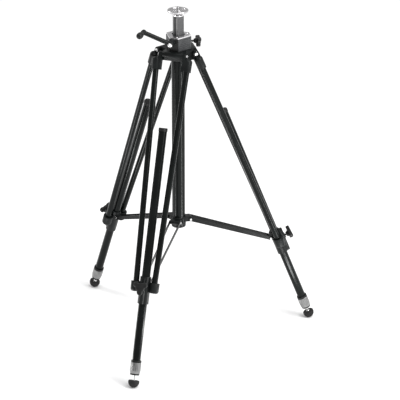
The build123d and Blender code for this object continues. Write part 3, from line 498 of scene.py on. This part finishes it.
def make_collar(leg):
    """Fluted collar, drawn with its top at the origin and its length along +Z, and its black lip."""
    origin, axis = joint_frame(f"collar_{leg}_turn")
    profile = [(0.0142, 0.0), (COLLAR_R - 0.0004, 0.0002), (COLLAR_R, 0.0007), (COLLAR_R, 0.0014),
               (COLLAR_R, 0.0018), (COLLAR_R, 0.0024), (COLLAR_R, 0.0226),
               (COLLAR_R - 0.0003, 0.0238), (COLLAR_END_R + 0.0002, 0.0300),
               (COLLAR_END_R - 0.0003, 0.0309), (COLLAR_END_R - 0.0012, 0.0310)]
    collar = turned(f"twist_collar_fluted_{leg}", profile, FLUTES * STEPS_PER_FLUTE)
    for steps, share in ((FLUTE_SIDES, SIDE_SHARE), (FLUTE_MIDDLE, MIDDLE_SHARE)):
        select_points(collar, lambda place: in_flute(place, steps))
        bpy.ops.transform.resize(value=(share, share, 1), center_override=(0, 0, 0))
        bpy.ops.object.mode_set(mode="OBJECT")
    settle(collar, origin, axis)
    smooth(collar, 28)
    finish_piece(collar, f"collar_{leg}", "silver_metal", f"twist_collar_{leg}", finish=collar_metal)
    lip_profile = [(0.0128, 0.0311), (0.0134, 0.0314), (0.0136, 0.0322), (0.0134, 0.0326),
                   (0.0134, 0.0345), (0.0130, 0.0353), (0.0122, 0.0356), (0.0104, 0.0356)]
    lip = turned(f"collar_lip_{leg}", lip_profile)
    settle(lip, origin, axis)
    smooth(lip)
    finish_piece(lip, f"collar_{leg}", "black_plastic")


def make_foot(leg):
    """Rubber dome with a flat crown, a moulding line round it and two grip grooves."""
    origin, axis = joint_frame(f"collar_{leg}_turn")
    crown = asin(FOOT_CROWN / FOOT_R)
    crown_r = FOOT_R * cos(crown)
    profile = [(0.0032, -FOOT_CROWN), (crown_r - 0.0012, -FOOT_CROWN), (crown_r - 0.0003, -0.0041)]
    for index in range(1, FOOT_STEPS):
        angle = -crown + (pi / 2 + crown) * index / FOOT_STEPS
        reach = FOOT_R
        if index in GROOVE_STEPS:
            reach = FOOT_R * GROOVE_SHARE
        if index == MOULDING_STEP:
            reach = FOOT_R * MOULDING_SHARE
        profile.append((reach * cos(angle), reach * sin(angle)))
    foot = turned(f"foot_rubber_moulded_{leg}", profile)
    settle(foot, origin + axis * COLLAR_TO_DOME, axis)
    smooth(foot, 40)
    finish_piece(foot, f"foot_{leg}", "rubber", f"foot_rubber_{leg}")


# ---- Crank --------------------------------------------------------------------------------

CRANK_SCREW_T = 0.0030        # thickness of the crank screw's head


def make_crank_nut():
    """Plated washer, hexagon nut and domed shaft end on the crank's hub."""
    origin, axis = joint_frame("crank_turn")
    face = abs(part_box("crank_screw")[0].y - origin.y) - CRANK_SCREW_T
    washer_profile = [(0.0060, face), (0.0064, face + 0.0003), (0.0064, face + 0.0010),
                      (0.0060, face + 0.0013), (0.0030, face + 0.0013)]
    nut_profile = [(0.0056, face + 0.0011), (0.0058, face + 0.0015), (0.0058, face + 0.0038),
                   (0.0052, face + 0.0044), (0.0030, face + 0.0044)]
    tip_profile = [(0.0030, face + 0.0042), (0.0030, face + 0.0052), (0.0024, face + 0.0059),
                   (0.0012, face + 0.0062)]
    washer = turned("crank_nut", washer_profile, 48)
    nut = turned("crank_nut_hexagon", nut_profile, 6)
    tip = turned("crank_nut_tip", tip_profile, 32)
    join_to(washer, [nut, tip])
    settle(washer, origin, axis)
    smooth(washer, 30)
    finish_piece(washer, "crank", "chrome", "crank_screw")


def make_crank_grip():
    """Grip with a beaded foot, a waist and a full, rounded end."""
    origin, axis = joint_frame("grip_spin")
    low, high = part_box("crank_grip")
    start, end = origin.y - high.y, origin.y - low.y
    length = end - start
    rows = [(0.0, 0.0058), (0.012, 0.0066), (0.07, 0.0070), (0.10, 0.0068), (0.14, 0.0064),
            (0.24, 0.0068), (0.36, 0.0078), (0.48, 0.0087), (0.60, 0.0092), (0.74, 0.0092),
            (0.84, 0.0086), (0.91, 0.0074), (0.96, 0.0056), (0.985, 0.0036), (0.995, 0.0014)]
    profile = [(radius, start + share * length) for share, radius in rows]
    grip = turned("crank_grip_moulded", profile, 56)
    settle(grip, origin, axis)
    smooth(grip, 40)
    finish_piece(grip, "grip", "black_plastic", "crank_grip")


# ---- Castings with rounded edges ----------------------------------------------------------

MERGE_WITHIN = 0.00001
FLAT_WITHIN = 0.6             # degrees
SHARP_EDGE = 34               # degrees, from which an edge is rounded


def rounded_copy(node, name, body, slot, width):
    """A copy of a casting, merged into one skin, with its sharp edges rounded."""
    pick(frame["nodes"][node])
    bpy.ops.object.duplicate()
    piece = bpy.context.object
    piece.name = piece.data.name = name
    for key in [key for key in piece.keys() if key.startswith("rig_")]:
        del piece[key]
    bpy.ops.object.mode_set(mode="EDIT")
    bpy.ops.mesh.select_all(action="SELECT")
    bpy.ops.mesh.remove_doubles(threshold=MERGE_WITHIN)
    bpy.ops.mesh.dissolve_limited(angle_limit=radians(FLAT_WITHIN))
    bpy.ops.object.mode_set(mode="OBJECT")
    round_edges(piece, width, SHARP_EDGE)
    smooth(piece, 30)
    finish_piece(piece, body, slot, node)


def make_castings():
    black, grey_paint = "black_casting", "grey_casting"
    rounded_copy("shoulder_casting", "shoulder_casting_rounded", "shoulder", black, 0.0012)
    rounded_copy("gear_housing", "gear_housing_rounded", "shoulder", grey_paint, 0.0003)
    rounded_copy("spreader_hub", "spreader_hub_rounded", "spreader", black, 0.0006)
    for leg in LEGS:
        body = f"leg_{leg}"
        rounded_copy(f"leg_casting_{leg}", f"leg_casting_rounded_{leg}", body, black, 0.0010)
        rounded_copy(f"hinge_ends_{leg}", f"hinge_ends_rounded_{leg}", body, black, 0.0009)


# Painted shade: the black plate below darkens the housing's front face, which is dark only because it lies in
# shade, away from the key light.
PAINTED_SHADE_PLATE_W = 0.0262
PAINTED_SHADE_PLATE_T = 0.0018
PAINTED_SHADE_PLATE_PROUD = 0.0003    # housing's face to the plate's middle
PAINTED_SHADE_PLATE_MARGIN = 0.0016   # how much lower the plate is than the housing
PAINTED_SHADE_PLATE_ROUND = 0.0007


def make_painted_shade_plate():
    """Black plate on the housing's front face, round the crank's bush: painted shade, a dark sheet standing in for
    the shade that falls on that face.
    """
    low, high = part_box("gear_housing")
    middle = (COLUMN_AXIS.x, low.y - PAINTED_SHADE_PLATE_PROUD, (low.z + high.z) / 2)
    clear_selection()
    bpy.ops.mesh.primitive_cube_add(size=1, location=middle)
    plate = bpy.context.object
    plate.name = plate.data.name = "painted_shade_plate"
    plate.scale = (PAINTED_SHADE_PLATE_W, PAINTED_SHADE_PLATE_T, high.z - low.z - PAINTED_SHADE_PLATE_MARGIN)
    bpy.ops.object.transform_apply(location=True, rotation=True, scale=True)
    round_edges(plate, PAINTED_SHADE_PLATE_ROUND, segments=3)
    smooth(plate, 30)
    finish_piece(plate, "shoulder", "black_plastic")


add_camera()
add_lights()
add_floor()
finish_cad_nodes()
make_head_plate()
make_head_stud()
for leg in LEGS:
    make_collar(leg)
    make_foot(leg)
make_crank_nut()
make_crank_grip()
make_castings()
# painted shade: black plate over the housing's shaded front face
make_painted_shade_plate()
